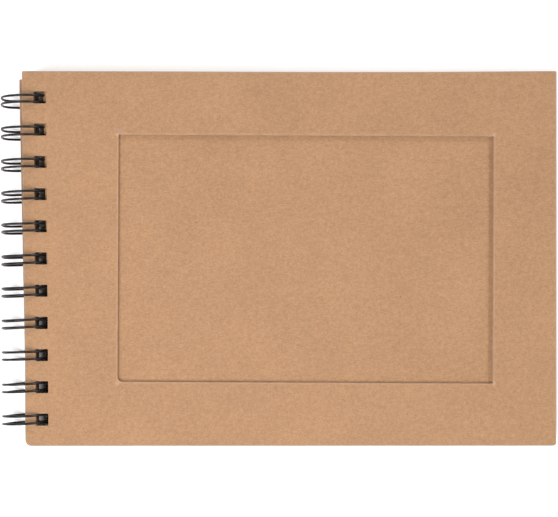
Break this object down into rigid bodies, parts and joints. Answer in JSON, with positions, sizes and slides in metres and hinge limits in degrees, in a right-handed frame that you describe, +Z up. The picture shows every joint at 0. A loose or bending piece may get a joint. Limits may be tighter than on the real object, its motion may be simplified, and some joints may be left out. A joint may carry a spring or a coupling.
{
  "type": "scrapbook album",
  "caption": "Landscape kraft scrapbook album, double-loop wire bound along its short edge, with a recessed photo window in the front cover, a solid back cover and loose leaves that turn.",
  "frame": {"origin": "centre of the underside of the bounding box, level with the bottom of the wire loops", "axes": "+X from the bound spine to the fore edge, +Y along the spine towards the top of the page, +Z up out of the front cover"},
  "size_m": [0.2196, 0.148, 0.0176],
  "materials": {
    "kraft_cover_wrap": "matt natural brown kraft paper with fine fibres",
    "kraft_window_panel": "matt natural brown kraft paper",
    "kraft_endpaper": "matt natural brown kraft paper",
    "kraft_leaf": "matt natural brown kraft card, cut edges",
    "greyboard": "raw grey-brown board",
    "black_wire": "black nylon-coated steel wire, satin"
  },
  "bodies": {
    "binding": {"binding_wire": "black_wire"},
    "back_cover": {"back_cover_board": "greyboard", "back_cover_wrap": "kraft_cover_wrap", "back_endpaper": "kraft_endpaper"},
    "leaf_20": {"leaf_20": "kraft_leaf"},
    "leaf_19": {"leaf_19": "kraft_leaf"},
    "leaf_18": {"leaf_18": "kraft_leaf"},
    "leaf_17": {"leaf_17": "kraft_leaf"},
    "leaf_16": {"leaf_16": "kraft_leaf"},
    "leaf_15": {"leaf_15": "kraft_leaf"},
    "leaf_14": {"leaf_14": "kraft_leaf"},
    "leaf_13": {"leaf_13": "kraft_leaf"},
    "leaf_12": {"leaf_12": "kraft_leaf"},
    "leaf_11": {"leaf_11": "kraft_leaf"},
    "leaf_10": {"leaf_10": "kraft_leaf"},
    "leaf_09": {"leaf_09": "kraft_leaf"},
    "leaf_08": {"leaf_08": "kraft_leaf"},
    "leaf_07": {"leaf_07": "kraft_leaf"},
    "leaf_06": {"leaf_06": "kraft_leaf"},
    "leaf_05": {"leaf_05": "kraft_leaf"},
    "leaf_04": {"leaf_04": "kraft_leaf"},
    "leaf_03": {"leaf_03": "kraft_leaf"},
    "leaf_02": {"leaf_02": "kraft_leaf"},
    "leaf_01": {"leaf_01": "kraft_leaf"},
    "front_cover": {"front_frame_board": "greyboard", "front_backing_board": "greyboard", "front_cover_wrap": "kraft_cover_wrap", "front_window_panel": "kraft_window_panel", "front_endpaper": "kraft_endpaper"}
  },
  "joints": [
    {"name": "back_cover_hinge", "type": "hinge", "parent": "binding", "child": "back_cover", "pos_m": [-0.10097, 0, 0.0088], "axis": [0, 1, 0], "range_deg": [0, 180]},
    {"name": "leaf_20_hinge", "type": "hinge", "parent": "binding", "child": "leaf_20", "pos_m": [-0.10097, 0, 0.0088], "axis": [0, -1, 0], "range_deg": [0, 180]},
    {"name": "leaf_19_hinge", "type": "hinge", "parent": "leaf_20", "child": "leaf_19", "pos_m": [-0.10097, 0, 0.0088], "axis": [0, -1, 0], "range_deg": [0, 180]},
    {"name": "leaf_18_hinge", "type": "hinge", "parent": "leaf_19", "child": "leaf_18", "pos_m": [-0.10097, 0, 0.0088], "axis": [0, -1, 0], "range_deg": [0, 180]},
    {"name": "leaf_17_hinge", "type": "hinge", "parent": "leaf_18", "child": "leaf_17", "pos_m": [-0.10097, 0, 0.0088], "axis": [0, -1, 0], "range_deg": [0, 180]},
    {"name": "leaf_16_hinge", "type": "hinge", "parent": "leaf_17", "child": "leaf_16", "pos_m": [-0.10097, 0, 0.0088], "axis": [0, -1, 0], "range_deg": [0, 180]},
    {"name": "leaf_15_hinge", "type": "hinge", "parent": "leaf_16", "child": "leaf_15", "pos_m": [-0.10097, 0, 0.0088], "axis": [0, -1, 0], "range_deg": [0, 180]},
    {"name": "leaf_14_hinge", "type": "hinge", "parent": "leaf_15", "child": "leaf_14", "pos_m": [-0.10097, 0, 0.0088], "axis": [0, -1, 0], "range_deg": [0, 180]},
    {"name": "leaf_13_hinge", "type": "hinge", "parent": "leaf_14", "child": "leaf_13", "pos_m": [-0.10097, 0, 0.0088], "axis": [0, -1, 0], "range_deg": [0, 180]},
    {"name": "leaf_12_hinge", "type": "hinge", "parent": "leaf_13", "child": "leaf_12", "pos_m": [-0.10097, 0, 0.0088], "axis": [0, -1, 0], "range_deg": [0, 180]},
    {"name": "leaf_11_hinge", "type": "hinge", "parent": "leaf_12", "child": "leaf_11", "pos_m": [-0.10097, 0, 0.0088], "axis": [0, -1, 0], "range_deg": [0, 180]},
    {"name": "leaf_10_hinge", "type": "hinge", "parent": "leaf_11", "child": "leaf_10", "pos_m": [-0.10097, 0, 0.0088], "axis": [0, -1, 0], "range_deg": [0, 180]},
    {"name": "leaf_09_hinge", "type": "hinge", "parent": "leaf_10", "child": "leaf_09", "pos_m": [-0.10097, 0, 0.0088], "axis": [0, -1, 0], "range_deg": [0, 180]},
    {"name": "leaf_08_hinge", "type": "hinge", "parent": "leaf_09", "child": "leaf_08", "pos_m": [-0.10097, 0, 0.0088], "axis": [0, -1, 0], "range_deg": [0, 180]},
    {"name": "leaf_07_hinge", "type": "hinge", "parent": "leaf_08", "child": "leaf_07", "pos_m": [-0.10097, 0, 0.0088], "axis": [0, -1, 0], "range_deg": [0, 180]},
    {"name": "leaf_06_hinge", "type": "hinge", "parent": "leaf_07", "child": "leaf_06", "pos_m": [-0.10097, 0, 0.0088], "axis": [0, -1, 0], "range_deg": [0, 180]},
    {"name": "leaf_05_hinge", "type": "hinge", "parent": "leaf_06", "child": "leaf_05", "pos_m": [-0.10097, 0, 0.0088], "axis": [0, -1, 0], "range_deg": [0, 180]},
    {"name": "leaf_04_hinge", "type": "hinge", "parent": "leaf_05", "child": "leaf_04", "pos_m": [-0.10097, 0, 0.0088], "axis": [0, -1, 0], "range_deg": [0, 180]},
    {"name": "leaf_03_hinge", "type": "hinge", "parent": "leaf_04", "child": "leaf_03", "pos_m": [-0.10097, 0, 0.0088], "axis": [0, -1, 0], "range_deg": [0, 180]},
    {"name": "leaf_02_hinge", "type": "hinge", "parent": "leaf_03", "child": "leaf_02", "pos_m": [-0.10097, 0, 0.0088], "axis": [0, -1, 0], "range_deg": [0, 180]},
    {"name": "leaf_01_hinge", "type": "hinge", "parent": "leaf_02", "child": "leaf_01", "pos_m": [-0.10097, 0, 0.0088], "axis": [0, -1, 0], "range_deg": [0, 180]},
    {"name": "front_cover_hinge", "type": "hinge", "parent": "leaf_01", "child": "front_cover", "pos_m": [-0.10097, 0, 0.0088], "axis": [0, -1, 0], "range_deg": [0, 180]}
  ]
}
